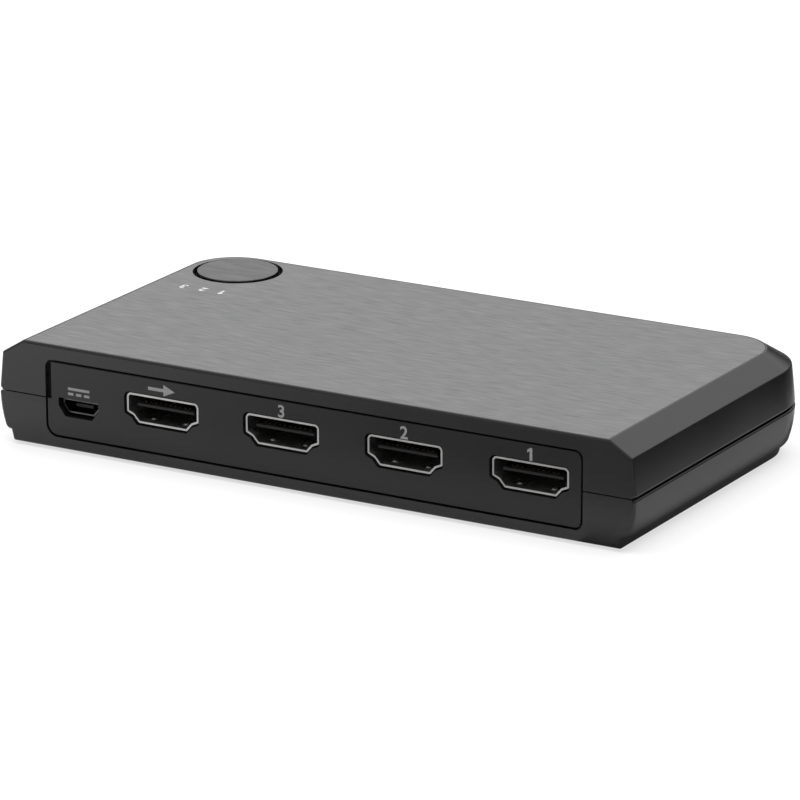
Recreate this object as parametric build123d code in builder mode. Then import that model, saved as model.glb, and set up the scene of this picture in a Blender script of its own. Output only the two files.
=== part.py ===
from build123d import *
import math
import os

# Small box that joins one of three video sources to one screen, with sockets, board and select button.
# +X runs to the right as the sockets are seen, +Y runs away from them, and +Z is up.
# The origin is the middle of the box, on the surface that its feet stand on. Sizes are in millimetres.

os.makedirs("parts", exist_ok=True)

# Cuts run this far past the material that they open
overrun = 3.0

# Casing, given at its widest line, the seam between the two halves
casing_width = 126.95
casing_depth = 70.4
casing_height = 18.8
corner_radius = 13.7
wall = 2.0
front_wall = 3.0
edge_round = 0.5
skirt_overlap = 2.0

# Seam: a dark slot round the box, closed inside by a lip on the lower half
seam_share = 0.484
seam_gap = 0.4
seam_round = 0.35
seam_front_gap = 0.2
seam_wrap = 0.6
lip_depth = 0.9
lip_thickness = 1.1
lip_rise = 1.2
lip_clearance = 0.12

# Upper half: drafted side, broad chamfer and flat top
side_draft = 0.7
chamfer_rise = 2.7
chamfer_run = 4.37
foot_round = 0.5

# Lower half: bellied side, a step in to the plinth, and the floor
belly_draw = 1.3
step_height = 1.95
step_round = 1.2
step_land_share = 0.95
plinth_inset = 2.2
plinth_draft = 0.5
plinth_round = 0.4
floor_thickness = 2.4
floor_round = 2.2

# Feet: four rubber pads in shallow seats
foot_stand = 0.5
foot_seat = 0.5
foot_radius = 5.0
foot_fit = 0.15
foot_edge = 0.25
foot_side = 17.1
foot_front = 11.2
foot_far = 15.2

# Top plate, let into the upper half
plate_thickness = 0.5
plate_rim = 0.35
plate_front_rim = 0.7
plate_fit = 0.06

# Port panel, held by a flange in a groove of the front wall
panel_left = 10.15
panel_right = 10.2
panel_low = 2.4
panel_high = 3.0
panel_corner = 1.2
panel_key_corner = 2.0
panel_gap = 0.35
panel_edge_round = 0.2
panel_face = 1.05
panel_flange = 1.0
panel_flange_rim = 0.9
panel_groove_fit = 0.1
panel_notch = 0.8

# Circuit board
board_share = 0.2713
board_thickness = 1.6
board_inset = 4.2
board_front = 3.3
board_fit = 0.4

# Video sockets, output first and then the inputs, evenly spaced between their places at the panel's ends
socket_panel_left = 23.72
socket_panel_right = 9.86
socket_names = ["output", "input_3", "input_2", "input_1"]
socket_lift = 0.5
socket_recess = 0.45
socket_width = 14.7
socket_height = 5.28
socket_foot_width = 9.9
socket_shoulder_width = 12.1
socket_shoulder = 1.25
socket_side_low = 1.8
socket_corner = 0.9
socket_bend = 0.3
socket_wall = 0.35
socket_length = 11.3
socket_cutout = 0.32
spring_width = 1.7
spring_length = 4.2
spring_start = 1.6
spring_slit = 0.25
spring_spread = 6.6
leg_width = 1.2
leg_reach = 0.6
leg_first = 4.6
leg_pitch = 4.8
leg_fit = 0.25
leg_top = 3.2

# Insulators inside the video sockets
block_start = 7.6
block_back = 1.6
block_fit = 0.05
block_side_gap = 0.2
tongue_width = 11.6
tongue_thickness = 0.9
tongue_height = 3.0
tongue_recess = 1.0
tongue_nose = 0.5
tongue_nose_drop = 0.22

# Contacts of the video sockets: two rows on one tongue
contact_count = 19
contact_pitch = 0.5
contact_width = 0.3
contact_thickness = 0.1
contact_start = 1.8
contact_back = 12.0
contact_row_step = 0.5
contact_foot = 1.6

# Power inlet
power_panel_left = 6.5
power_recess = 1.0
power_width = 7.5
power_foot_width = 5.3
power_height = 2.5
power_side_low = 1.35
power_wall = 0.25
power_bend = 0.2
power_length = 5.2
power_cut_width = 8.35
power_cut_foot_width = 5.6
power_cut_drop = 0.55
power_cut_height = 3.35
power_cut_side_low = 1.9
power_cut_bend = 0.3
power_block = 1.5
power_block_back = 0.8
power_tongue_width = 3.6
power_tongue_thickness = 0.55
power_tongue_drop = 0.75
power_tongue_length = 2.6
power_contact_count = 5
power_contact_pitch = 0.65
power_contact_width = 0.35
power_contact_foot = 0.9
power_leg_first = 3.6
power_leg_width = 1.0

# Select button, which fills the plate's far corner on the output side
button_gap = 0.85
button_rim = 0.3
button_side_rim = 1.05
button_proud = 0.25
button_disc_thickness = 0.5
button_disc_edge = 0.12
button_top = 1.3
button_wall = 1.2
button_depth = 6.0
guide_clearance = 0.3
guide_wall = 1.3
guide_ledge = 1.5
lug_reach = 0.9
lug_height = 1.0
lug_width = 4.0
lug_count = 3
lug_turn = 60
key_width = 1.2
key_height = 3.0
key_reach = 0.6
stem_radius = 1.9
stem_play = 0.05
stem_web = 0.8
stem_web_height = 2.0

# Push switch under the button
switch_side = 6.0
switch_body_height = 3.1
switch_floor = 0.8
switch_well = 2.2
switch_cover_thickness = 0.3
switch_total = 5.0
switch_hole = 1.9
plunger_radius = 1.6
plunger_flange_radius = 1.9
plunger_play = 0.05
dome_radius = 2.0
dome_rise = 0.55
dome_thickness = 0.1
terminal_width = 0.7
terminal_length = 1.4
terminal_thickness = 0.2
terminal_pitch = 4.5

# Casing screws, driven from below into the upper half's bosses
casing_screw_side = 7.1
casing_screw_front = 7.7
casing_screw_far_side = 31.1
casing_screw_far = 11.2
boss_radius = 3.4
boss_top = 1.3
upper_boss_radius = 3.0
screw_head_radius = 2.2
screw_head_height = 1.6
screw_head_fit = 0.3
screw_head_depth = 2.4
screw_shank_radius = 1.3
screw_clearance = 0.25
screw_bite = 5.0
screw_pilot_spare = 1.0
screw_thread_fit = 0.04
screw_drive_radius = 1.1
screw_drive_depth = 0.8
screw_edge = 0.3

# Board screws, driven from above into the lower half's standoffs
board_screw_side = 10.1
board_screw_front = 21.2
board_screw_far_side = 41.1
board_screw_far = 13.2
standoff_radius = 2.6
board_screw_head_radius = 1.9
board_screw_head_height = 1.2
board_screw_shank_radius = 0.9
board_screw_clearance = 0.3
board_screw_bite = 2.3
board_screw_pilot_depth = 2.6

# Indicator lamps and the clear guide that takes their light to the far wall
lamp_count = 3
lamp_pitch = 10.0
lamp_far = 6.3
lamp_width = 2.0
lamp_depth = 1.25
lamp_height = 0.8
guide_pipe_width = 2.4
guide_pipe_height = 1.2
guide_pipe_depth = 1.8
guide_pipe_drop = 6.8
guide_lamp_gap = 0.25
guide_slot_fit = 0.12
guide_recess = 0.05
guide_bevel = 1.0
guide_tab = 4.0
guide_post_radius = 1.6
guide_pin_radius = 0.8
guide_pin_fit = 0.06
guide_pin_reach = 0.6

# Chips and small parts, whose places are shares of the casing's width and depth from its front left
video_chip_share = (0.5475, 0.4574)
video_chip_side = 9.0
video_chip_height = 0.9
video_chip_bevel = 0.15
mark_radius = 0.45
mark_depth = 0.1
mark_inset = 1.3
control_chip_share = (0.3574, 0.642)
control_chip_length = 4.9
control_chip_width = 3.9
control_chip_height = 1.4
control_chip_lift = 0.15
lead_count = 4
lead_pitch = 1.27
lead_width = 0.42
lead_thickness = 0.2
lead_reach = 1.05
lead_rise = 0.75
regulator_share = (0.2385, 0.4432)
regulator_length = 6.5
regulator_width = 3.5
regulator_height = 1.6
regulator_bevel = 0.25
crystal_share = (0.6743, 0.4432)
crystal_length = 11.2
crystal_width = 4.7
crystal_height = 3.4
crystal_edge = 0.4
bulk_capacitor_share = (0.1593, 0.358)
bulk_capacitor_pitch = 7.5
bulk_capacitor_count = 2
bulk_capacitor_radius = 2.5
bulk_capacitor_height = 5.2
bulk_capacitor_neck = 1.0
bulk_capacitor_groove = 0.2
bulk_capacitor_groove_height = 0.5
surge_share = 0.2585
surge_pitch = 5.0
surge_length = 2.5
surge_width = 1.0
surge_height = 0.5
chip_part_length = 1.6
chip_part_width = 0.8
ceramic_height = 0.8
resistor_height = 0.45
ceramic_share = (0.5475, 0.5923)
ceramic_columns = 5
ceramic_rows = 2
ceramic_pitch_x = 2.6
ceramic_pitch_y = 2.0
resistor_share = (0.5475, 0.3438)
resistor_columns = 8
resistor_rows = 2
resistor_pitch_x = 2.4
resistor_pitch_y = 1.7

# Levels, worked out upwards from the surface that the feet stand on
base_z = foot_stand
step_z = base_z + step_height
floor_z = base_z + floor_thickness
seam_z = base_z + casing_height * seam_share
lower_rim_z = seam_z - seam_gap / 2
upper_rim_z = seam_z + seam_gap / 2
lower_front_z = seam_z - seam_front_gap / 2
upper_front_z = seam_z + seam_front_gap / 2
lip_z = seam_z + lip_rise
top_z = base_z + casing_height
chamfer_foot_z = top_z - chamfer_rise
ceiling_z = top_z - wall
board_low_z = base_z + casing_height * board_share
board_z = board_low_z + board_thickness
boss_z = board_z + boss_top
socket_z = board_z + socket_lift
panel_height = casing_height - panel_low - panel_high
panel_middle_z = base_z + panel_low + panel_height / 2

# Places worked out across the box
front_y = -casing_depth / 2
chamfer_inset = side_draft + chamfer_run
chamfer_slope = math.atan2(top_z - chamfer_foot_z, chamfer_run)
chamfer_drop = wall / math.cos(chamfer_slope)
lower_wall_inset = wall + lip_clearance
shoulder_inset = wall + side_draft
shoulder_z = chamfer_foot_z + (shoulder_inset - side_draft) * math.tan(chamfer_slope) - chamfer_drop
ceiling_inset = side_draft + (ceiling_z + chamfer_drop - chamfer_foot_z) / math.tan(chamfer_slope)
plate_inset = chamfer_inset + plate_rim
skirt_inset = plate_inset + skirt_overlap + wall
floor_overlap = plinth_inset + plinth_draft + skirt_overlap + floor_round
belly_slope = 2 * math.atan2(belly_draw, lower_rim_z - step_z)
step_land = (plinth_inset - belly_draw) * step_land_share
step_radius = min(step_round, step_land / math.tan(math.pi / 4 - belly_slope / 2))
panel_width = casing_width - panel_left - panel_right
panel_left_x = panel_left - casing_width / 2
panel_middle_x = panel_left_x + panel_width / 2
socket_pitch = (panel_width - socket_panel_left - socket_panel_right) / (len(socket_names) - 1)
socket_first_x = panel_left_x + socket_panel_left
socket_places = [socket_first_x + socket_pitch * step for step in range(len(socket_names))]
power_x = panel_left_x + power_panel_left
button_radius = corner_radius - plate_inset - button_gap
button_x = plate_inset + button_side_rim + button_gap + button_radius - casing_width / 2
button_y = casing_depth / 2 - plate_inset - button_rim - button_gap - button_radius
button_place = (button_x, button_y)
casing_screw_x = casing_width / 2 - casing_screw_side
casing_screw_y = front_y + casing_screw_front
casing_screw_far_x = casing_width / 2 - casing_screw_far_side
casing_screw_far_y = casing_depth / 2 - casing_screw_far
casing_screw_places = [
    (-casing_screw_x, casing_screw_y),
    (casing_screw_x, casing_screw_y),
    (-casing_screw_far_x, casing_screw_far_y),
    (casing_screw_far_x, casing_screw_far_y),
]
board_screw_x = casing_width / 2 - board_screw_side
board_screw_y = front_y + board_screw_front
board_screw_far_x = casing_width / 2 - board_screw_far_side
board_screw_far_y = casing_depth / 2 - board_screw_far
foot_x = casing_width / 2 - foot_side
foot_front_y = front_y + foot_front
foot_far_y = casing_depth / 2 - foot_far
foot_places = [
    (-foot_x, foot_front_y),
    (foot_x, foot_front_y),
    (-foot_x, foot_far_y),
    (foot_x, foot_far_y),
]
plate_seat_z = top_z - plate_thickness
ledge_z = top_z - guide_ledge
button_low_z = top_z + button_proud - button_depth
cap_z = top_z + button_proud - button_disc_thickness
cap_under_z = cap_z - button_top
guide_low_z = button_low_z + lug_height + guide_clearance
switch_rim_z = board_z + switch_body_height
switch_top_z = board_z + switch_total
dome_z = board_z + switch_floor
plunger_z = dome_z + dome_rise + plunger_play
power_cut_z = board_z - power_cut_drop
pipe_z = top_z - guide_pipe_drop
lamp_y = casing_depth / 2 - lamp_far
pipe_top_z = pipe_z + guide_pipe_height
lamp_top_z = board_z + lamp_height
board_front_y = front_y + board_front
board_notch_width = casing_width / 2 - board_inset - casing_screw_x + boss_radius + board_fit
board_notch_depth = casing_screw_y + boss_radius + board_fit - board_front_y
shell_y = front_y + socket_recess
power_y = front_y + power_recess
tongue_low_z = socket_z + tongue_height - tongue_thickness / 2
tongue_top_z = tongue_low_z + tongue_thickness
power_tongue_z = board_z + power_height - power_wall - power_tongue_drop - power_tongue_thickness
lamp_places = [lamp_pitch * (step - (lamp_count - 1) / 2) for step in range(lamp_count)]
guide_post_x = lamp_places[-1] + guide_tab
guide_bar_y = lamp_y + guide_pipe_depth / 2
guide_post_places = [(-guide_post_x, guide_bar_y), (guide_post_x, guide_bar_y)]
board_screw_places = [
    (-board_screw_x, board_screw_y),
    (board_screw_x, board_screw_y),
    (-board_screw_far_x, board_screw_far_y),
    (board_screw_far_x, board_screw_far_y),
]


def shared_place(share):
    """X and Y of a place given as shares of the casing's width and depth."""
    return (casing_width * (share[0] - 1 / 2), casing_depth * (share[1] - 1 / 2))


def left(inset):
    """X of a point this far in from the casing's left edge at the seam."""
    return inset - casing_width / 2


def corner_at(section, x, y):
    """The corner of a section nearest to this place."""
    return section.vertices().sort_by_distance((x, y))[0]


def side_inset(height):
    """How far the upper casing's drafted side has drawn in at this height."""
    return side_draft * (height - upper_rim_z) / (chamfer_foot_z - upper_rim_z)


def port_plane(depth=0):
    """Upright plane of the socket side, moved into the box by the depth."""
    return Plane.XZ.offset(casing_depth / 2 - depth)


def level(height):
    """Flat plane at this height above the standing surface."""
    return Plane.XY.offset(height)


def casing_outline(inset, front_inset=0):
    """Plan outline of the casing, drawn in from its three rounded sides and from its flat front."""
    with BuildSketch(mode=Mode.PRIVATE) as outline:
        with Locations((0, (front_inset - inset) / 2)):
            Rectangle(casing_width - 2 * inset, casing_depth - inset - front_inset)
        fillet(outline.vertices().group_by(Axis.Y)[-1], radius=corner_radius - inset)
    return outline.sketch


def panel_outline(grow=0):
    """Outline of the port panel's face, grown by the clearance or rim asked for."""
    with BuildSketch(mode=Mode.PRIVATE) as outline:
        with Locations((panel_middle_x, panel_middle_z)):
            Rectangle(panel_width + 2 * grow, panel_height + 2 * grow)
        corners = outline.vertices().sort_by_distance((-casing_width, 0))
        fillet(corners[1:], radius=panel_corner + grow)
        fillet(corner_at(outline, -casing_width, 0), radius=panel_key_corner + grow)
    return outline.sketch


def socket_outline(grow=0):
    """Outline of a video socket's shell about the middle of its narrow bottom edge."""
    with BuildSketch(mode=Mode.PRIVATE) as outline:
        with BuildLine():
            Polyline(
                (0, 0),
                (socket_foot_width / 2, 0),
                (socket_shoulder_width / 2, socket_shoulder),
                (socket_width / 2, socket_side_low),
                (socket_width / 2, socket_height),
                (0, socket_height),
            )
            mirror(about=Plane.YZ)
        make_face()
        fillet(outline.vertices().group_by(Axis.Y)[-1], radius=socket_corner)
        fillet(outline.vertices().group_by(Axis.Y)[:3], radius=socket_bend)
        if grow:
            offset(amount=grow)
    return outline.sketch


def tapered_outline(width, foot_width, height, side_low, bend, grow=0):
    """Outline with a flat top, upright sides and a narrower foot, about its bottom edge's middle."""
    with BuildSketch(mode=Mode.PRIVATE) as outline:
        with BuildLine():
            Polyline(
                (0, 0),
                (foot_width / 2, 0),
                (width / 2, side_low),
                (width / 2, height),
                (0, height),
            )
            mirror(about=Plane.YZ)
        make_face()
        corners = outline.vertices().group_by(Axis.Y)
        fillet(corners[0] + corners[1] + corners[-1], radius=bend)
        if grow:
            offset(amount=grow)
    return outline.sketch


def power_outline(grow=0):
    """Outline of the power inlet's shell."""
    return tapered_outline(power_width, power_foot_width, power_height, power_side_low, power_bend, grow)


def power_cut_outline():
    """Outline of the power inlet's cut-out in the port panel."""
    sizes = power_cut_width, power_cut_foot_width, power_cut_height, power_cut_side_low, power_cut_bend
    return tapered_outline(*sizes)


def contact_strip(front, low, thickness, back, foot_end):
    """Side view of one contact: along the tongue, down to the board and out as a foot."""
    Polyline(
        (front, low),
        (back - thickness, low),
        (back - thickness, board_z),
        (foot_end, board_z),
        (foot_end, board_z + thickness),
        (back, board_z + thickness),
        (back, low + thickness),
        (front, low + thickness),
        close=True,
    )


# Path that the casing walls follow: left side, far side and right side, with round corners between
with BuildLine() as wall_path:
    FilletPolyline(
        (left(0), front_y),
        (left(0), -front_y),
        (-left(0), -front_y),
        (-left(0), front_y),
        radius=corner_radius,
    )

# Half section of the lower casing's outside, from the seam down the belly and the step to the underside
with BuildLine() as lower_half:
    belly = TangentArc((left(0), lower_rim_z), (left(belly_draw), step_z), tangent=(0, -1))
    Polyline(
        belly @ 1,
        (left(plinth_inset), step_z),
        (left(plinth_inset + plinth_draft), base_z),
    )

# Half section of the upper casing's outside, from the seam up the side and the chamfer to the top
with BuildLine() as upper_half:
    FilletPolyline(
        (left(0), upper_rim_z),
        (left(side_draft), chamfer_foot_z),
        (left(chamfer_inset), top_z),
        radius=foot_round,
    )


def round_lower_edges(section):
    """Round the step, the plinth's foot and the seam edge of a section of the lower casing."""
    fillet(corner_at(section, left(belly_draw), step_z), radius=step_radius)
    fillet(corner_at(section, left(plinth_inset + plinth_draft), base_z), radius=plinth_round)
    fillet(corner_at(section, left(0), lower_rim_z), radius=seam_round)


def port_face_edges(body, low, high):
    """Edges round a face of the socket side whose middles lie between two heights."""
    port_face = body.faces().filter_by(Axis.Y).sort_by(Axis.Y)[0]
    return port_face.outer_wire().edges().filter_by_position(Axis.Z, low, high)


# Seat of the port panel, cut through both halves' front walls: the opening and a groove for the flange
with BuildPart() as panel_seat:
    with BuildSketch(port_plane()):
        add(panel_outline(panel_gap))
    extrude(amount=-front_wall)
    with BuildSketch(port_plane(panel_face - panel_groove_fit / 2)):
        add(panel_outline(panel_gap + panel_flange_rim))
    extrude(amount=-panel_flange - panel_groove_fit)

# Lower casing: a wall swept round three sides, a front wall, a floor, the lip, bosses and standoffs
with BuildPart() as lower_casing:
    with BuildSketch(port_plane()) as lower_wall:
        with BuildLine():
            add(lower_half.line)
            Polyline(
                (left(plinth_inset + plinth_draft), base_z),
                (left(floor_overlap), base_z),
                (left(floor_overlap), floor_z),
                (left(lower_wall_inset), floor_z),
                (left(lower_wall_inset), lower_rim_z),
                (left(0), lower_rim_z),
            )
        make_face()
        round_lower_edges(lower_wall)
        fillet(corner_at(lower_wall, left(lower_wall_inset), floor_z), radius=floor_round)
    sweep(path=wall_path.wires()[0])
    with BuildSketch(port_plane()) as lower_front:
        with BuildLine():
            add(lower_half.line)
            Polyline(
                (left(plinth_inset + plinth_draft), base_z),
                (0, base_z),
                (0, lower_front_z),
                (left(seam_wrap), lower_front_z),
                (left(seam_wrap), lower_rim_z),
                (left(0), lower_rim_z),
            )
        make_face()
        round_lower_edges(lower_front)
        mirror(about=Plane.YZ)
    extrude(amount=-front_wall)
    with BuildSketch(level(base_z)):
        add(casing_outline(floor_overlap - skirt_overlap, front_wall - skirt_overlap))
    extrude(amount=floor_thickness)
    rounded_edges = port_face_edges(lower_casing, base_z - edge_round, lower_rim_z - seam_round)
    fillet(rounded_edges, radius=edge_round)
    with BuildSketch(level(lower_rim_z - wall)):
        add(casing_outline(lip_depth, lip_depth))
        add(casing_outline(lip_depth + lip_thickness, front_wall), mode=Mode.SUBTRACT)
    extrude(amount=lip_z - lower_rim_z + wall)
    with BuildSketch(level(floor_z)):
        with Locations(*casing_screw_places):
            Circle(boss_radius)
    extrude(amount=boss_z - floor_z)
    with BuildSketch(level(floor_z)):
        with Locations(*board_screw_places):
            Circle(standoff_radius)
    extrude(amount=board_low_z - floor_z)
    add(panel_seat.part, mode=Mode.SUBTRACT)
    with BuildSketch(level(base_z)):
        with Locations(*casing_screw_places):
            Circle(screw_head_radius + screw_head_fit)
    extrude(amount=screw_head_depth, mode=Mode.SUBTRACT)
    with BuildSketch(level(base_z)):
        with Locations(*casing_screw_places):
            Circle(screw_shank_radius + screw_clearance)
    extrude(amount=boss_z - base_z, mode=Mode.SUBTRACT)
    with BuildSketch(level(board_low_z)):
        with Locations(*board_screw_places):
            Circle(board_screw_shank_radius + screw_thread_fit)
    extrude(amount=-board_screw_pilot_depth, mode=Mode.SUBTRACT)
    with BuildSketch(level(base_z)):
        with Locations(*foot_places):
            Circle(foot_radius + foot_fit)
    extrude(amount=foot_seat, mode=Mode.SUBTRACT)
lower_casing.part.label = "lower_casing"
export_step(lower_casing.part, "parts/lower_casing.step")

# Upper casing: a wall swept round three sides, a front wall, a top that seats the plate, and bosses
with BuildPart() as upper_casing:
    with BuildSketch(port_plane()) as upper_wall:
        with BuildLine():
            add(upper_half.line)
            Polyline(
                (left(chamfer_inset), top_z),
                (left(skirt_inset), top_z),
                (left(skirt_inset), ceiling_z),
                (left(ceiling_inset), ceiling_z),
                (left(shoulder_inset), shoulder_z),
                (left(wall), upper_rim_z),
                (left(0), upper_rim_z),
            )
        make_face()
        fillet(corner_at(upper_wall, left(0), upper_rim_z), radius=seam_round)
    sweep(path=wall_path.wires()[0])
    with BuildSketch(port_plane()) as upper_front:
        with BuildLine():
            add(upper_half.line)
            Polyline(
                (left(chamfer_inset), top_z),
                (0, top_z),
                (0, upper_front_z),
                (left(seam_wrap), upper_front_z),
                (left(seam_wrap), upper_rim_z),
                (left(0), upper_rim_z),
            )
        make_face()
        fillet(corner_at(upper_front, left(0), upper_rim_z), radius=seam_round)
        mirror(about=Plane.YZ)
    extrude(amount=-front_wall)
    with BuildSketch(level(ceiling_z)):
        add(casing_outline(skirt_inset - skirt_overlap, front_wall - skirt_overlap))
    extrude(amount=wall)
    rounded_edges = port_face_edges(upper_casing, upper_rim_z + seam_round, top_z + edge_round)
    fillet(rounded_edges, radius=edge_round)
    with BuildSketch(level(seam_z)):
        add(casing_outline(lip_depth - lip_clearance, lip_depth - lip_clearance))
    extrude(amount=lip_z + lip_clearance - seam_z, mode=Mode.SUBTRACT)
    with BuildSketch(level(guide_low_z)):
        with Locations(button_place):
            Circle(button_radius + guide_clearance + guide_wall)
    extrude(amount=ledge_z - guide_low_z)
    with BuildSketch(level(boss_z)):
        with Locations(*casing_screw_places):
            Circle(upper_boss_radius)
    extrude(amount=ceiling_z + wall / 2 - boss_z)
    with BuildSketch(level(pipe_top_z)):
        with Locations(*guide_post_places):
            Circle(guide_post_radius)
    extrude(amount=ceiling_z + wall / 2 - pipe_top_z)
    with BuildSketch(level(pipe_z - guide_pin_reach)):
        with Locations(*guide_post_places):
            Circle(guide_pin_radius)
    extrude(amount=pipe_top_z - pipe_z + guide_pin_reach)
    with BuildSketch(level(ledge_z)):
        with Locations(button_place):
            Circle(button_radius + button_gap)
    extrude(amount=guide_ledge, mode=Mode.SUBTRACT)
    with BuildSketch(level(guide_low_z)):
        with Locations(button_place):
            Circle(button_radius + guide_clearance)
        with Locations((button_x + button_radius, button_y)):
            Rectangle(2 * (key_reach + guide_clearance), key_width + 2 * guide_clearance)
    extrude(amount=button_low_z + key_height + guide_clearance - guide_low_z, mode=Mode.SUBTRACT)
    with BuildSketch(level(guide_low_z)):
        with Locations(button_place):
            Circle(button_radius + guide_clearance)
    extrude(amount=ledge_z - guide_low_z, mode=Mode.SUBTRACT)
    with BuildSketch(level(boss_z)):
        with Locations(*casing_screw_places):
            Circle(screw_shank_radius + screw_thread_fit)
    extrude(amount=screw_bite + screw_pilot_spare, mode=Mode.SUBTRACT)
    with BuildSketch(Plane.XZ.offset(front_y)):
        for place in lamp_places:
            with Locations((place, pipe_z + guide_pipe_height / 2)):
                Rectangle(guide_pipe_width + 2 * guide_slot_fit, guide_pipe_height + 2 * guide_slot_fit)
    extrude(amount=2 * wall, mode=Mode.SUBTRACT)
    with BuildSketch(level(plate_seat_z)):
        add(casing_outline(plate_inset - plate_fit, plate_front_rim - plate_fit))
    extrude(amount=plate_thickness, mode=Mode.SUBTRACT)
    add(panel_seat.part, mode=Mode.SUBTRACT)
upper_casing.part.label = "upper_casing"
export_step(upper_casing.part, "parts/upper_casing.step")

# Top plate: brushed sheet with a round hole for the button close to its corner
with BuildPart() as top_plate:
    with BuildSketch(level(plate_seat_z)):
        add(casing_outline(plate_inset, plate_front_rim))
        with Locations(button_place):
            Circle(button_radius + button_gap, mode=Mode.SUBTRACT)
    extrude(amount=plate_thickness)
top_plate.part.label = "top_plate"
export_step(top_plate.part, "parts/top_plate.step")

# Port panel: a face that fills the opening, a flange behind it, and a cut-out for each socket
with BuildPart() as port_panel:
    with BuildSketch(port_plane()):
        add(panel_outline())
        with Locations((panel_left_x, seam_z + panel_height / 2)):
            Rectangle(2 * panel_notch, panel_height, mode=Mode.SUBTRACT)
    extrude(amount=-panel_face)
    fillet(port_face_edges(port_panel, base_z, top_z), radius=panel_edge_round)
    with BuildSketch(port_plane(panel_face)):
        add(panel_outline(panel_flange_rim))
    extrude(amount=-panel_flange)
    with BuildSketch(port_plane()):
        for place in socket_places:
            with Locations((place, socket_z)):
                add(socket_outline(socket_cutout))
        with Locations((power_x, power_cut_z)):
            add(power_cut_outline())
    extrude(amount=-panel_face - panel_flange, mode=Mode.SUBTRACT)
port_panel.part.label = "port_panel"
export_step(port_panel.part, "parts/port_panel.step")

# Circuit board: cut clear of the bosses, with slots for the sockets' legs and holes for its screws
with BuildPart() as circuit_board:
    with BuildSketch(level(board_low_z)):
        add(casing_outline(board_inset, board_front))
        with Locations((left(board_inset), board_front_y), (-left(board_inset), board_front_y)):
            Rectangle(2 * board_notch_width, 2 * board_notch_depth, mode=Mode.SUBTRACT)
        with Locations(*casing_screw_places[2:]):
            Circle(boss_radius + board_fit, mode=Mode.SUBTRACT)
        with Locations(*board_screw_places):
            Circle(board_screw_shank_radius + board_screw_clearance, mode=Mode.SUBTRACT)
        for place in socket_places:
            with Locations((place, shell_y + leg_first + leg_pitch / 2)):
                with GridLocations(socket_width - socket_wall, leg_pitch, 2, 2):
                    Rectangle(socket_wall + 2 * leg_fit, leg_width + 2 * leg_fit, mode=Mode.SUBTRACT)
        with Locations((power_x, power_y + power_leg_first)):
            with GridLocations(power_width - power_wall, leg_pitch, 2, 1):
                Rectangle(power_wall + 2 * leg_fit, power_leg_width + 2 * leg_fit, mode=Mode.SUBTRACT)
    extrude(amount=board_thickness)
circuit_board.part.label = "circuit_board"
export_step(circuit_board.part, "parts/circuit_board.step")

# Video sockets: each a folded shell, the contacts on its tongue, and the insulator moulded round them
for name, place in zip(socket_names, socket_places):
    with BuildPart() as socket_shell:
        with BuildSketch(port_plane(socket_recess)):
            with Locations((place, socket_z)):
                add(socket_outline())
                add(socket_outline(-socket_wall), mode=Mode.SUBTRACT)
        extrude(amount=-socket_length)
        with BuildSketch(level(board_low_z - leg_reach)):
            with Locations((place, shell_y + leg_first + leg_pitch / 2)):
                with GridLocations(socket_width - socket_wall, leg_pitch, 2, 2):
                    Rectangle(socket_wall, leg_width)
        extrude(amount=socket_z + leg_top - board_low_z + leg_reach)
        with BuildSketch(level(socket_z - overrun)):
            with Locations((place, shell_y + spring_start + spring_length / 2)):
                with GridLocations(spring_spread, spring_length, 2, 1):
                    Rectangle(spring_width + 2 * spring_slit, spring_length)
                    with Locations((0, spring_slit)):
                        Rectangle(spring_width, spring_length, mode=Mode.SUBTRACT)
        extrude(amount=socket_height + 2 * overrun, mode=Mode.SUBTRACT)
    socket_shell.part.label = name + "_socket_shell"
    export_step(socket_shell.part, "parts/" + name + "_socket_shell.step")

    row_x = [place + contact_pitch * (step - (contact_count - 1) / 2) for step in range(contact_count)]
    with BuildPart() as socket_contacts:
        with BuildSketch(*[Plane.YZ.offset(x) for x in row_x[0::2]]):
            with BuildLine():
                contact_strip(
                    shell_y + contact_start,
                    tongue_top_z,
                    contact_thickness,
                    shell_y + contact_back,
                    shell_y + contact_back + contact_foot,
                )
            make_face()
        extrude(amount=contact_width / 2, both=True)
        with BuildSketch(*[Plane.YZ.offset(x) for x in row_x[1::2]]):
            with BuildLine():
                contact_strip(
                    shell_y + contact_start,
                    tongue_low_z - contact_thickness,
                    contact_thickness,
                    shell_y + contact_back - contact_row_step,
                    shell_y + contact_back + contact_foot,
                )
            make_face()
        extrude(amount=contact_width / 2, both=True)
    socket_contacts.part.label = name + "_socket_contacts"
    export_step(socket_contacts.part, "parts/" + name + "_socket_contacts.step")

    with BuildPart() as socket_insulator:
        with BuildSketch(port_plane(socket_recess + block_start)):
            with Locations((place, socket_z)):
                add(socket_outline(-socket_wall - block_fit))
        extrude(amount=-socket_length + block_start - block_back)
        with BuildSketch(port_plane(socket_recess + socket_length)):
            with Locations((place, (board_z + socket_z + socket_height) / 2)):
                Rectangle(socket_width - 2 * block_side_gap, socket_z + socket_height - board_z)
        extrude(amount=-block_back)
        with BuildSketch(Plane.YZ.offset(place)):
            with BuildLine():
                Polyline(
                    (shell_y + block_start, tongue_low_z),
                    (shell_y + tongue_recess + tongue_nose, tongue_low_z),
                    (shell_y + tongue_recess, tongue_low_z + tongue_nose_drop),
                    (shell_y + tongue_recess, tongue_top_z - tongue_nose_drop),
                    (shell_y + tongue_recess + tongue_nose, tongue_top_z),
                    (shell_y + block_start, tongue_top_z),
                    close=True,
                )
            make_face()
        extrude(amount=tongue_width / 2, both=True)
        add(socket_contacts.part, mode=Mode.SUBTRACT)
    socket_insulator.part.label = name + "_socket_insulator"
    export_step(socket_insulator.part, "parts/" + name + "_socket_insulator.step")

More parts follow.
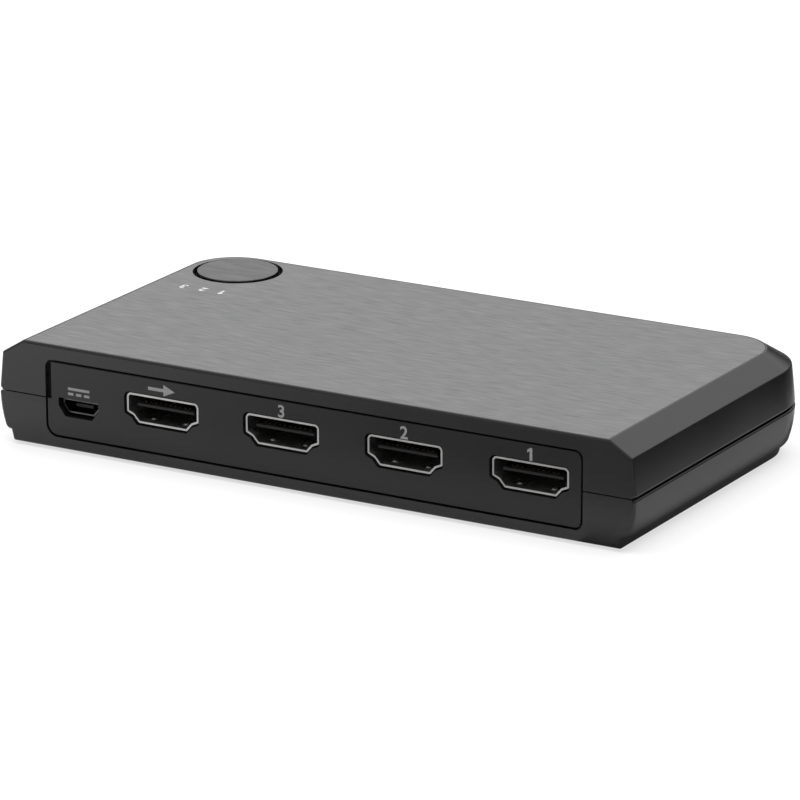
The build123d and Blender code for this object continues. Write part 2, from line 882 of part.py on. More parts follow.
# Power inlet: a small folded shell that sits on the board, its insulator and its contacts
with BuildPart() as power_socket_shell:
    with BuildSketch(port_plane(power_recess)):
        with Locations((power_x, board_z)):
            add(power_outline())
            add(power_outline(-power_wall), mode=Mode.SUBTRACT)
    extrude(amount=-power_length)
    with BuildSketch(level(board_low_z - leg_reach)):
        with Locations((power_x, power_y + power_leg_first)):
            with GridLocations(power_width - power_wall, leg_pitch, 2, 1):
                Rectangle(power_wall, power_leg_width)
    extrude(amount=board_z + power_side_low + power_wall - board_low_z + leg_reach)
power_socket_shell.part.label = "power_socket_shell"
export_step(power_socket_shell.part, "parts/power_socket_shell.step")

power_row_start = power_x - power_contact_pitch * (power_contact_count - 1) / 2
power_row_x = [power_row_start + power_contact_pitch * step for step in range(power_contact_count)]
with BuildPart() as power_socket_contacts:
    with BuildSketch(*[Plane.YZ.offset(x) for x in power_row_x]):
        with BuildLine():
            contact_strip(
                power_y + power_length - power_block - power_tongue_length + contact_row_step,
                power_tongue_z - contact_thickness,
                contact_thickness,
                power_y + power_length + power_block_back / 2,
                power_y + power_length + power_block_back + power_contact_foot,
            )
        make_face()
    extrude(amount=power_contact_width / 2, both=True)
power_socket_contacts.part.label = "power_socket_contacts"
export_step(power_socket_contacts.part, "parts/power_socket_contacts.step")

with BuildPart() as power_socket_insulator:
    with BuildSketch(port_plane(power_recess + power_length - power_block)):
        with Locations((power_x, board_z)):
            add(power_outline(-power_wall - block_fit))
    extrude(amount=-power_block)
    with BuildSketch(port_plane(power_recess + power_length)):
        with Locations((power_x, board_z + power_height / 2)):
            Rectangle(power_width - 2 * power_wall, power_height)
    extrude(amount=-power_block_back)
    with BuildSketch(port_plane(power_recess + power_length - power_block)):
        with Locations((power_x, power_tongue_z + power_tongue_thickness / 2)):
            Rectangle(power_tongue_width, power_tongue_thickness)
    extrude(amount=power_tongue_length)
    add(power_socket_contacts.part, mode=Mode.SUBTRACT)
power_socket_insulator.part.label = "power_socket_insulator"
export_step(power_socket_insulator.part, "parts/power_socket_insulator.step")

# Select button: a hollow cap put in from below, with stop lugs, a key and a stem that meets the switch
with BuildPart() as select_button:
    with BuildSketch(level(button_low_z)):
        with Locations(button_place):
            Circle(button_radius)
            Circle(button_radius - button_wall, mode=Mode.SUBTRACT)
    extrude(amount=cap_under_z - button_low_z)
    with BuildSketch(level(cap_under_z)):
        with Locations(button_place):
            Circle(button_radius)
    extrude(amount=button_top)
    with BuildSketch(level(cap_under_z - stem_web_height)):
        with Locations(button_place):
            with PolarLocations(0, 2, angular_range=180):
                Rectangle(2 * button_radius - button_wall, stem_web)
    extrude(amount=stem_web_height)
    with BuildSketch(level(switch_top_z + stem_play)):
        with Locations(button_place):
            Circle(stem_radius)
    extrude(amount=cap_under_z - switch_top_z - stem_play)
    with BuildSketch(level(button_low_z)):
        with Locations(button_place):
            with PolarLocations(button_radius, lug_count, start_angle=lug_turn):
                Rectangle(4 * lug_reach, lug_width)
            Circle(button_radius + lug_reach, mode=Mode.INTERSECT)
            Circle(button_radius - button_wall, mode=Mode.SUBTRACT)
    extrude(amount=lug_height)
    with BuildSketch(level(button_low_z)):
        with Locations((button_x + button_radius, button_y)):
            Rectangle(2 * key_reach, key_width)
    extrude(amount=key_height)
select_button.part.label = "select_button"
export_step(select_button.part, "parts/select_button.step")

# Button disc: a brushed disc glued on the cap, its edge just broken
with BuildPart() as button_disc:
    with BuildSketch(level(cap_z)):
        with Locations(button_place):
            Circle(button_radius)
    extrude(amount=button_disc_thickness)
    fillet(button_disc.edges().group_by(Axis.Z)[-1], radius=button_disc_edge)
button_disc.part.label = "button_disc"
export_step(button_disc.part, "parts/button_disc.step")

# Push switch: a moulded body with a well, a snap dome, a plunger, a pressed cover and four terminals
with BuildPart() as switch_body:
    with BuildSketch(level(board_z)):
        with Locations(button_place):
            Rectangle(switch_side, switch_side)
    extrude(amount=switch_body_height)
    with BuildSketch(level(dome_z)):
        with Locations(button_place):
            Circle(switch_well)
    extrude(amount=switch_body_height - switch_floor, mode=Mode.SUBTRACT)
switch_body.part.label = "switch_body"
export_step(switch_body.part, "parts/switch_body.step")

with BuildPart() as switch_cover:
    with BuildSketch(level(switch_rim_z)):
        with Locations(button_place):
            Rectangle(switch_side, switch_side)
            Circle(switch_hole, mode=Mode.SUBTRACT)
    extrude(amount=switch_cover_thickness)
switch_cover.part.label = "switch_cover"
export_step(switch_cover.part, "parts/switch_cover.step")

with BuildPart() as switch_plunger:
    with BuildSketch(level(plunger_z)):
        with Locations(button_place):
            Circle(plunger_flange_radius)
    extrude(amount=switch_rim_z - plunger_play - plunger_z)
    with BuildSketch(level(plunger_z)):
        with Locations(button_place):
            Circle(plunger_radius)
    extrude(amount=switch_top_z - plunger_z)
switch_plunger.part.label = "switch_plunger"
export_step(switch_plunger.part, "parts/switch_plunger.step")

with BuildPart() as switch_dome:
    dome_bend = (dome_radius**2 + dome_rise**2) / (2 * dome_rise)
    inner_radius = math.sqrt(dome_bend**2 - (dome_bend - dome_rise + dome_thickness) ** 2)
    with BuildSketch(Plane(origin=(button_x, button_y, dome_z), x_dir=(1, 0, 0), z_dir=(0, -1, 0))):
        with BuildLine():
            RadiusArc((0, dome_rise), (dome_radius, 0), dome_bend)
            Line((dome_radius, 0), (inner_radius, 0))
            RadiusArc((inner_radius, 0), (0, dome_rise - dome_thickness), -dome_bend)
            Line((0, dome_rise - dome_thickness), (0, dome_rise))
        make_face()
    revolve(axis=Axis((button_x, button_y, 0), (0, 0, 1)))
switch_dome.part.label = "switch_dome"
export_step(switch_dome.part, "parts/switch_dome.step")

with BuildPart() as switch_terminals:
    with BuildSketch(level(board_z)):
        with Locations(button_place):
            with GridLocations(switch_side + terminal_length, terminal_pitch, 2, 2):
                Rectangle(terminal_length, terminal_width)
    extrude(amount=terminal_thickness)
switch_terminals.part.label = "switch_terminals"
export_step(switch_terminals.part, "parts/switch_terminals.step")

# Feet: four rubber pads stuck in their seats
with BuildPart() as foot_pads:
    with BuildSketch(level(0)):
        with Locations(*foot_places):
            Circle(foot_radius)
    extrude(amount=foot_stand + foot_seat)
    fillet(foot_pads.edges().group_by(Axis.Z)[0], radius=foot_edge)
foot_pads.part.label = "foot_pads"
export_step(foot_pads.part, "parts/foot_pads.step")

# Casing screws: pan heads in the underside's counterbores, shanks in the upper bosses
with BuildPart() as casing_screws:
    with BuildSketch(level(base_z + screw_head_depth - screw_head_height)):
        with Locations(*casing_screw_places):
            Circle(screw_head_radius)
    extrude(amount=screw_head_height)
    fillet(casing_screws.edges().group_by(Axis.Z)[0], radius=screw_edge)
    with BuildSketch(level(base_z + screw_head_depth)):
        with Locations(*casing_screw_places):
            Circle(screw_shank_radius)
    extrude(amount=boss_z + screw_bite - base_z - screw_head_depth)
    with BuildSketch(level(base_z + screw_head_depth - screw_head_height)):
        with Locations(*casing_screw_places):
            RegularPolygon(screw_drive_radius, 6)
    extrude(amount=screw_drive_depth, mode=Mode.SUBTRACT)
casing_screws.part.label = "casing_screws"
export_step(casing_screws.part, "parts/casing_screws.step")

# Board screws: driven from above through the board into the standoffs
with BuildPart() as board_screws:
    with BuildSketch(level(board_z)):
        with Locations(*board_screw_places):
            Circle(board_screw_head_radius)
    extrude(amount=board_screw_head_height)
    fillet(board_screws.edges().group_by(Axis.Z)[-1], radius=screw_edge)
    with BuildSketch(level(board_z)):
        with Locations(*board_screw_places):
            Circle(board_screw_shank_radius)
    extrude(amount=-board_thickness - board_screw_bite)
board_screws.part.label = "board_screws"
export_step(board_screws.part, "parts/board_screws.step")

# Indicator lamps on the board's far edge
with BuildPart() as indicator_lamps:
    with BuildSketch(level(board_z)):
        with Locations(*[(place, lamp_y) for place in lamp_places]):
            Rectangle(lamp_width, lamp_depth)
    extrude(amount=lamp_height)
indicator_lamps.part.label = "indicator_lamps"
export_step(indicator_lamps.part, "parts/indicator_lamps.step")

# Light guide: three bent pipes on one bar, held on two pins of the upper casing
with BuildPart() as light_guide:
    with BuildSketch(*[Plane.YZ.offset(place) for place in lamp_places]):
        with BuildLine():
            Polyline(
                (lamp_y - guide_pipe_depth / 2, lamp_top_z + guide_lamp_gap),
                (lamp_y + guide_pipe_depth / 2, lamp_top_z + guide_lamp_gap),
                (lamp_y + guide_pipe_depth / 2, pipe_z),
                (casing_depth / 2 - side_inset(pipe_z) - guide_recess, pipe_z),
                (casing_depth / 2 - side_inset(pipe_top_z) - guide_recess, pipe_top_z),
                (lamp_y - guide_pipe_depth / 2 + guide_bevel, pipe_top_z),
                (lamp_y - guide_pipe_depth / 2, pipe_top_z - guide_bevel),
                close=True,
            )
        make_face()
    extrude(amount=guide_pipe_width / 2, both=True)
    with BuildSketch(level(pipe_z)):
        with Locations((0, guide_bar_y)):
            Rectangle(2 * guide_post_x, guide_pipe_depth)
        with Locations(*guide_post_places):
            Circle(guide_post_radius)
            Circle(guide_pin_radius + guide_pin_fit, mode=Mode.SUBTRACT)
    extrude(amount=guide_pipe_height)
light_guide.part.label = "light_guide"
export_step(light_guide.part, "parts/light_guide.step")

# Video switch chip: a flat package with a bevelled top and a mark at its first pin
with BuildPart() as video_switch_chip:
    with BuildSketch(level(board_z)):
        with Locations(shared_place(video_chip_share)):
            Rectangle(video_chip_side, video_chip_side)
    extrude(amount=video_chip_height)
    chamfer(video_switch_chip.edges().group_by(Axis.Z)[-1], length=video_chip_bevel)
    with BuildSketch(level(board_z + video_chip_height)):
        with Locations(shared_place(video_chip_share)):
            with Locations((mark_inset - video_chip_side / 2, video_chip_side / 2 - mark_inset)):
                Circle(mark_radius)
    extrude(amount=-mark_depth, mode=Mode.SUBTRACT)
video_switch_chip.part.label = "video_switch_chip"
export_step(video_switch_chip.part, "parts/video_switch_chip.step")

# Control chip and its leads
control_chip_x, control_chip_y = shared_place(control_chip_share)
with BuildPart() as control_chip:
    with BuildSketch(level(board_z + control_chip_lift)):
        with Locations((control_chip_x, control_chip_y)):
            Rectangle(control_chip_length, control_chip_width)
    extrude(amount=control_chip_height)
    with BuildSketch(level(board_z + control_chip_lift + control_chip_height)):
        with Locations((control_chip_x, control_chip_y)):
            with Locations((mark_inset - control_chip_length / 2, mark_inset - control_chip_width / 2)):
                Circle(mark_radius)
    extrude(amount=-mark_depth, mode=Mode.SUBTRACT)
control_chip.part.label = "control_chip"
export_step(control_chip.part, "parts/control_chip.step")

lead_x = [control_chip_x + lead_pitch * (step - (lead_count - 1) / 2) for step in range(lead_count)]
with BuildPart() as control_chip_leads:
    with BuildSketch(*[Plane.YZ.offset(x) for x in lead_x]):
        with BuildLine():
            contact_strip(
                control_chip_y + control_chip_width / 2,
                board_z + lead_rise,
                lead_thickness,
                control_chip_y + control_chip_width / 2 + lead_reach / 2,
                control_chip_y + control_chip_width / 2 + lead_reach,
            )
        make_face()
    extrude(amount=lead_width / 2, both=True)
    mirror(about=Plane.XZ.offset(-control_chip_y))
control_chip_leads.part.label = "control_chip_leads"
export_step(control_chip_leads.part, "parts/control_chip_leads.step")

# Voltage regulator, crystal and bulk capacitors
with BuildPart() as voltage_regulator:
    with BuildSketch(level(board_z)):
        with Locations(shared_place(regulator_share)):
            Rectangle(regulator_length, regulator_width)
    extrude(amount=regulator_height)
    chamfer(voltage_regulator.edges().group_by(Axis.Z)[-1], length=regulator_bevel)
voltage_regulator.part.label = "voltage_regulator"
export_step(voltage_regulator.part, "parts/voltage_regulator.step")

with BuildPart() as crystal:
    with BuildSketch(level(board_z)):
        with Locations(shared_place(crystal_share)):
            SlotOverall(crystal_length, crystal_width)
    extrude(amount=crystal_height)
    fillet(crystal.edges().group_by(Axis.Z)[-1], radius=crystal_edge)
crystal.part.label = "crystal"
export_step(crystal.part, "parts/crystal.step")

with BuildPart() as bulk_capacitors:
    with BuildSketch(level(board_z)):
        with Locations(shared_place(bulk_capacitor_share)):
            with GridLocations(bulk_capacitor_pitch, bulk_capacitor_pitch, bulk_capacitor_count, 1):
                Circle(bulk_capacitor_radius)
    extrude(amount=bulk_capacitor_height)
    with BuildSketch(level(board_z + bulk_capacitor_neck)):
        with Locations(shared_place(bulk_capacitor_share)):
            with GridLocations(bulk_capacitor_pitch, bulk_capacitor_pitch, bulk_capacitor_count, 1):
                Circle(bulk_capacitor_radius)
                Circle(bulk_capacitor_radius - bulk_capacitor_groove, mode=Mode.SUBTRACT)
    extrude(amount=bulk_capacitor_groove_height, mode=Mode.SUBTRACT)
bulk_capacitors.part.label = "bulk_capacitors"
export_step(bulk_capacitors.part, "parts/bulk_capacitors.step")

# Surge arrays: two behind each video socket
surge_y = front_y + casing_depth * surge_share
with BuildPart() as surge_arrays:
    with BuildSketch(level(board_z)):
        for place in socket_places:
            with Locations((place, surge_y)):
                with GridLocations(surge_pitch, surge_pitch, 2, 1):
                    Rectangle(surge_length, surge_width)
    extrude(amount=surge_height)
surge_arrays.part.label = "surge_arrays"
export_step(surge_arrays.part, "parts/surge_arrays.step")

# Ceramic capacitors and resistors in rows beside the video switch chip
with BuildPart() as ceramic_capacitors:
    with BuildSketch(level(board_z)):
        with Locations(shared_place(ceramic_share)):
            with GridLocations(ceramic_pitch_x, ceramic_pitch_y, ceramic_columns, ceramic_rows):
                Rectangle(chip_part_length, chip_part_width)
    extrude(amount=ceramic_height)
ceramic_capacitors.part.label = "ceramic_capacitors"
export_step(ceramic_capacitors.part, "parts/ceramic_capacitors.step")

with BuildPart() as resistors:
    with BuildSketch(level(board_z)):
        with Locations(shared_place(resistor_share)):
            with GridLocations(resistor_pitch_x, resistor_pitch_y, resistor_columns, resistor_rows):
                Rectangle(chip_part_length, chip_part_width)
    extrude(amount=resistor_height)
resistors.part.label = "resistors"
export_step(resistors.part, "parts/resistors.step")
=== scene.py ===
import math

import bmesh
import bpy
from mathutils import Matrix, Vector


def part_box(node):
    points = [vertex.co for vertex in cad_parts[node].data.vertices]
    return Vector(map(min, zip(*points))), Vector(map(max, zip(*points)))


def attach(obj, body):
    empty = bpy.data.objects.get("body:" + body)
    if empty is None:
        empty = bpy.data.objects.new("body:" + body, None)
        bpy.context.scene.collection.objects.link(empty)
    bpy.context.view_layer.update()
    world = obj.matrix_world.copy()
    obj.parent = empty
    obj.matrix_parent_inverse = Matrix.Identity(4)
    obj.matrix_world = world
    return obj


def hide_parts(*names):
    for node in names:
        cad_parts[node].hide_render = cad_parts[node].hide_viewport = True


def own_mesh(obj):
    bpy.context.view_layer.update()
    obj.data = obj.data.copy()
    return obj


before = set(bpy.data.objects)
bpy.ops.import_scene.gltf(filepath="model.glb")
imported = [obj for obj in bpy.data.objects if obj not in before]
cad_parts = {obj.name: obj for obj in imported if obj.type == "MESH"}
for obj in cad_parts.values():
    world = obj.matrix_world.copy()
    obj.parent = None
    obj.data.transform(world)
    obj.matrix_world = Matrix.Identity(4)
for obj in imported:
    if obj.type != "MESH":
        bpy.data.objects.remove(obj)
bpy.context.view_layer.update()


# Casing halves
# Two shells moulded in black styrene blend, with a fine spark-eroded grain that softens the gloss.
# They meet at a dark slot half way up and are screwed together from below.
def start_material(name, colour, roughness, metallic=0.0):
    """A new material with one principled shader; returns the material, its node tree and the shader."""
    material = bpy.data.materials.new(name)
    material.use_nodes = True
    shader = material.node_tree.nodes["Principled BSDF"]
    shader.inputs["Base Color"].default_value = (*colour, 1.0)
    shader.inputs["Roughness"].default_value = roughness
    shader.inputs["Metallic"].default_value = metallic
    return material, material.node_tree, shader


def grain(tree, size, stretch=(1.0, 1.0, 1.0), detail=2.0, seed=(0.0, 0.0, 0.0)):
    """Noise with features of this size in metres, drawn out along each axis by the stretch."""
    place = tree.nodes.new("ShaderNodeTexCoord")
    mapping = tree.nodes.new("ShaderNodeMapping")
    mapping.inputs["Location"].default_value = seed
    mapping.inputs["Scale"].default_value = [1.0 / (size * length) for length in stretch]
    noise = tree.nodes.new("ShaderNodeTexNoise")
    noise.inputs["Scale"].default_value = 1.0
    noise.inputs["Detail"].default_value = detail
    tree.links.new(place.outputs["Object"], mapping.inputs["Vector"])
    tree.links.new(mapping.outputs["Vector"], noise.inputs["Vector"])
    return noise.outputs["Fac"]


def vary_colour(tree, shader, amount, dark, light, low=0.3, high=0.7):
    """Run the base colour from dark to light as the amount goes from low to high."""
    ramp = tree.nodes.new("ShaderNodeValToRGB")
    ramp.color_ramp.elements[0].position = low
    ramp.color_ramp.elements[0].color = (*dark, 1.0)
    ramp.color_ramp.elements[1].position = high
    ramp.color_ramp.elements[1].color = (*light, 1.0)
    tree.links.new(amount, ramp.inputs["Fac"])
    tree.links.new(ramp.outputs["Color"], shader.inputs["Base Color"])


def vary_roughness(tree, shader, amount, smooth, rough):
    """Run the roughness from smooth to rough with the amount."""
    spread = tree.nodes.new("ShaderNodeMapRange")
    spread.inputs["To Min"].default_value = smooth
    spread.inputs["To Max"].default_value = rough
    tree.links.new(amount, spread.inputs["Value"])
    tree.links.new(spread.outputs["Result"], shader.inputs["Roughness"])


def raise_grain(tree, shader, amount, height, strength=1.0):
    """Raise the surface by the amount, up to this height in metres."""
    bump = tree.nodes.new("ShaderNodeBump")
    bump.inputs["Strength"].default_value = strength
    bump.inputs["Distance"].default_value = height
    tree.links.new(amount, bump.inputs["Height"])
    tree.links.new(bump.outputs["Normal"], shader.inputs["Normal"])


def finish_node(node, material):
    """Give a piece of the frame its finish."""
    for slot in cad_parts[node].material_slots:
        slot.material = material


def moulded_plastic(name, colour, roughness, grain_size=0.00035, grain_height=0.000012):
    """Moulded plastic: a fine raised grain, faint blotches of tone and gloss."""
    material, tree, shader = start_material(name, colour, roughness)
    blotches = grain(tree, 0.012, detail=3.0)
    dark = [0.86 * channel for channel in colour]
    light = [1.14 * channel for channel in colour]
    vary_colour(tree, shader, blotches, dark, light)
    vary_roughness(tree, shader, blotches, roughness - 0.04, roughness + 0.04)
    raise_grain(tree, shader, grain(tree, grain_size, detail=1.0), grain_height, 0.6)
    return material


casing_plastic = moulded_plastic("casing_plastic", (0.008, 0.008, 0.0084), 0.25)
casing_shader = casing_plastic.node_tree.nodes["Principled BSDF"]
casing_shader.inputs["Specular IOR Level"].default_value = 0.62
finish_node("lower_casing", casing_plastic)
finish_node("upper_casing", casing_plastic)

# Port panel
# A flat moulded insert that fills the opening of the socket side and is held by its flange in a groove.
# Its marks are pad-printed in grey ink: numerals over the inputs, an arrow over the output, and the
# direct-current sign over the power inlet.
panel_plastic = moulded_plastic("panel_plastic", (0.008, 0.008, 0.0084), 0.3, 0.0003, 0.000008)
finish_node("port_panel", panel_plastic)


def printed_ink(name, dark, light):
    """Printing ink, slightly rough and patchy where it hasn't taken."""
    material, tree, shader = start_material(name, light, 0.55)
    specks = grain(tree, 0.00012)
    vary_colour(tree, shader, specks, dark, light, 0.35, 0.5)
    vary_roughness(tree, shader, specks, 0.5, 0.65)
    return material


grey_ink = printed_ink("grey_ink", (0.15, 0.15, 0.155), (0.23, 0.23, 0.235))
ink_height = 0.00002
sheet_thickness = 0.01
stroke_growth = 0.022


def printed_mark(name, shape, height, centre, across, up, material):
    """Lay a flat shape on a face as a thin print of this height, its width running across the face."""
    xs, ys, zs = zip(*[point.co for point in shape.vertices])
    middle = Vector(((min(xs) + max(xs)) / 2, (min(ys) + max(ys)) / 2, min(zs)))
    scale = height / (max(ys) - min(ys))
    lift = ink_height / (max(zs) - min(zs))
    out = Vector(across).cross(Vector(up))
    turn = Matrix((across, up, out)).transposed().to_4x4()
    size = Matrix.Diagonal((scale, scale, lift, 1.0))
    shape.transform(Matrix.Translation(centre) @ turn @ size @ Matrix.Translation(-middle))
    shape.materials.clear()
    shape.materials.append(material)
    piece = bpy.data.objects.new(name, shape)
    bpy.context.scene.collection.objects.link(piece)
    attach(piece, "box")


def letter_shape(characters):
    """Plain mesh of some characters, their strokes a little heavier than the font's."""
    letters = bpy.data.curves.new("characters", "FONT")
    letters.body = characters
    letters.extrude = sheet_thickness
    letters.offset = stroke_growth
    holder = bpy.data.objects.new("characters", letters)
    bpy.context.scene.collection.objects.link(holder)
    shape = bpy.data.meshes.new_from_object(holder.evaluated_get(bpy.context.evaluated_depsgraph_get()))
    bpy.data.objects.remove(holder)
    return shape


def outline_shape(outlines):
    """Plain mesh of flat outlines, each a list of corners taken anticlockwise."""
    work = bmesh.new()
    for outline in outlines:
        face = work.faces.new([work.verts.new((x, y, 0.0)) for x, y in outline])
        raised = bmesh.ops.extrude_face_region(work, geom=[face])["geom"]
        corners = [part for part in raised if isinstance(part, bmesh.types.BMVert)]
        bmesh.ops.translate(work, vec=(0.0, 0.0, sheet_thickness), verts=corners)
    bmesh.ops.recalc_face_normals(work, faces=work.faces)
    shape = bpy.data.meshes.new("outline")
    work.to_mesh(shape)
    work.free()
    return shape


def panel_mark(name, shape, shell, height, middle):
    """Print a grey shape of this height on the panel over a socket's shell, its middle this far up."""
    low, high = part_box(shell)
    place = ((low.x + high.x) / 2 + print_shift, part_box("port_panel")[0].y, middle)
    printed_mark(name, shape, height, place, (1, 0, 0), (0, 0, 1), grey_ink)


print_shift = 0.0001
numeral_height = 0.0023
numeral_middle = 0.01445
numeral_one = [(0.2, 0), (0.42, 0), (0.42, 1), (0.24, 1), (0, 0.84), (0, 0.62), (0.2, 0.74)]
for name in ["input_3", "input_2", "input_1"]:
    shape = outline_shape([numeral_one]) if name == "input_1" else letter_shape(name[-1])
    panel_mark(name + "_mark", shape, name + "_socket_shell", numeral_height, numeral_middle)

arrow_height = 0.0021
arrow_middle = 0.0145
arrow = [(0, 0.36), (1.5, 0.36), (1.5, 0), (2.6, 0.5), (1.5, 1), (1.5, 0.64), (0, 0.64)]
panel_mark("output_mark", outline_shape([arrow]), "output_socket_shell", arrow_height, arrow_middle)

power_mark_height = 0.0014
power_mark_middle = 0.0114
direct_current = [[(0, 0.66), (3.2, 0.66), (3.2, 1), (0, 1)]]
for start in (0.0, 1.2, 2.4):
    direct_current.append([(start, 0), (start + 0.8, 0), (start + 0.8, 0.34), (start, 0.34)])
power_shape = outline_shape(direct_current)
panel_mark("power_mark", power_shape, "power_socket_shell", power_mark_height, power_mark_middle)

# Feet
# Four soft rubber pads stuck in seats under the box, dull, with a fine mould texture.
foot_rubber = moulded_plastic("foot_rubber", (0.02, 0.02, 0.02), 0.75, 0.0005, 0.00003)
finish_node("foot_pads", foot_rubber)


# Casing and board screws
# Zinc-plated steel: pan heads with a hexagonal drive below, small round heads on the board.
def plated_metal(name, dark, light, smooth, rough, mottle_size):
    """Plated metal whose tone and gloss are faintly mottled."""
    material, tree, shader = start_material(name, dark, rough, 1.0)
    mottle = grain(tree, mottle_size, detail=3.0)
    vary_colour(tree, shader, mottle, dark, light)
    vary_roughness(tree, shader, mottle, smooth, rough)
    return material


screw_steel = plated_metal("screw_steel", (0.24, 0.24, 0.25), (0.4, 0.4, 0.4), 0.26, 0.44, 0.0012)
finish_node("casing_screws", screw_steel)
finish_node("board_screws", screw_steel)

# Circuit board
# Glass laminate under a green solder mask. The copper below it shows as paler narrow runs, side by side
# along X in some patches and along Y in others.
def copper_runs(tree, axis, pitch, seed):
    """Straight runs across this axis, one at each step of the pitch, in patches set by the seed."""
    place = tree.nodes.new("ShaderNodeTexCoord")
    bands = tree.nodes.new("ShaderNodeTexWave")
    bands.bands_direction = axis
    bands.inputs["Scale"].default_value = math.pi / 10 / pitch
    patch = tree.nodes.new("ShaderNodeMapRange")
    patch.inputs["From Min"].default_value = 0.53
    patch.inputs["From Max"].default_value = 0.55
    patch.inputs["To Min"].default_value = 1.0
    patch.inputs["To Max"].default_value = 0.6
    runs = tree.nodes.new("ShaderNodeMath")
    runs.operation = "GREATER_THAN"
    tree.links.new(place.outputs["Object"], bands.inputs["Vector"])
    tree.links.new(grain(tree, 0.011, detail=0.0, seed=seed), patch.inputs["Value"])
    tree.links.new(bands.outputs["Fac"], runs.inputs[0])
    tree.links.new(patch.outputs["Result"], runs.inputs[1])
    return runs.outputs[0]


board_laminate, board_tree, board_shader = start_material("board_laminate", (0.007, 0.07, 0.026), 0.3)
both_runs = board_tree.nodes.new("ShaderNodeMath")
both_runs.operation = "MAXIMUM"
board_tree.links.new(copper_runs(board_tree, "Y", 0.0007, (2.0, 5.0, 0.0)), both_runs.inputs[0])
board_tree.links.new(copper_runs(board_tree, "X", 0.0008, (7.0, 1.0, 0.0)), both_runs.inputs[1])
mask_green = (0.005, 0.05, 0.018)
copper_green = (0.012, 0.1, 0.036)
vary_colour(board_tree, board_shader, both_runs.outputs[0], mask_green, copper_green, 0.2, 0.8)
vary_roughness(board_tree, board_shader, grain(board_tree, 0.004), 0.24, 0.36)
raise_grain(board_tree, board_shader, both_runs.outputs[0], 0.00003, 0.5)
finish_node("circuit_board", board_laminate)

# Solder joints and vias
# Bright cones of solder round the sockets' legs under the board, and rows of small tinned vias on it.
# Each set is one shape that Geometry Nodes repeat at the places given.
tinned_metal = plated_metal("tinned_metal", (0.5, 0.5, 0.49), (0.7, 0.7, 0.68), 0.22, 0.4, 0.0006)


def repeated_shape(name, places, shape_node, sizes, material):
    """A plain mesh of one shape at many places. The sizes are the tree's inputs and the shape's own."""
    tree = bpy.data.node_groups.new(name + "_tree", "GeometryNodeTree")
    tree.interface.new_socket("Geometry", in_out="INPUT", socket_type="NodeSocketGeometry")
    size_sockets = {}
    for size, value in sizes.items():
        kind = "NodeSocketVector" if isinstance(value, tuple) else "NodeSocketFloat"
        size_sockets[size] = tree.interface.new_socket(size, in_out="INPUT", socket_type=kind)
    tree.interface.new_socket("Geometry", in_out="OUTPUT", socket_type="NodeSocketGeometry")
    source = tree.nodes.new("NodeGroupInput")
    result = tree.nodes.new("NodeGroupOutput")
    shape = tree.nodes.new(shape_node)
    copies = tree.nodes.new("GeometryNodeInstanceOnPoints")
    solid = tree.nodes.new("GeometryNodeRealizeInstances")
    coat = tree.nodes.new("GeometryNodeSetMaterial")
    coat.inputs["Material"].default_value = material
    for size in sizes:
        target = copies.inputs["Scale"] if size == "Squash" else shape.inputs[size]
        tree.links.new(source.outputs[size], target)
    tree.links.new(source.outputs["Geometry"], copies.inputs["Points"])
    tree.links.new(shape.outputs["Mesh"], copies.inputs["Instance"])
    tree.links.new(copies.outputs["Instances"], solid.inputs["Geometry"])
    tree.links.new(solid.outputs["Geometry"], coat.inputs["Geometry"])
    tree.links.new(coat.outputs["Geometry"], result.inputs["Geometry"])

    points = bpy.data.meshes.new(name + "_places")
    points.from_pydata(places, [], [])
    piece = bpy.data.objects.new(name, points)
    bpy.context.scene.collection.objects.link(piece)
    modifier = piece.modifiers.new("repeat", "NODES")
    modifier.node_group = tree
    for size, value in sizes.items():
        modifier[size_sockets[size].identifier] = value
    evaluated = piece.evaluated_get(bpy.context.evaluated_depsgraph_get())
    mesh = bpy.data.meshes.new_from_object(evaluated)
    piece.modifiers.clear()
    piece.data = mesh
    mesh.materials.clear()
    mesh.materials.append(material)
    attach(piece, "box")


socket_names = ["output", "input_3", "input_2", "input_1"]
leg_first = 0.0046
leg_pitch = 0.0048
leg_inset = 0.0002
solder_height = 0.00045
board_low, board_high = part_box("circuit_board")
leg_places = []
for name in socket_names:
    shell_low, shell_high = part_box(name + "_socket_shell")
    for leg_y in (shell_low.y + leg_first, shell_low.y + leg_first + leg_pitch):
        for leg_x in (shell_low.x + leg_inset, shell_high.x - leg_inset):
            leg_places.append((leg_x, leg_y, board_low.z - solder_height))
solder_form = "GeometryNodeMeshCone"
solder_sizes = {"Radius Top": 0.0009, "Radius Bottom": 0.0004, "Depth": solder_height}
repeated_shape("solder_joints", leg_places, solder_form, solder_sizes, tinned_metal)

via_edge = 0.0008
via_pitch = 0.004
via_first_y = -0.016
via_places = [(via_pitch * step, board_high.y - via_edge, board_high.z) for step in range(-11, 12)]
for step in range(10):
    for via_x in (board_low.x + via_edge, board_high.x - via_edge):
        via_places.append((via_x, via_first_y + via_pitch * step, board_high.z))
via_form = "GeometryNodeMeshCylinder"
via_sizes = {"Radius": 0.0003, "Depth": 0.00006}
repeated_shape("board_vias", via_places, via_form, via_sizes, tinned_metal)

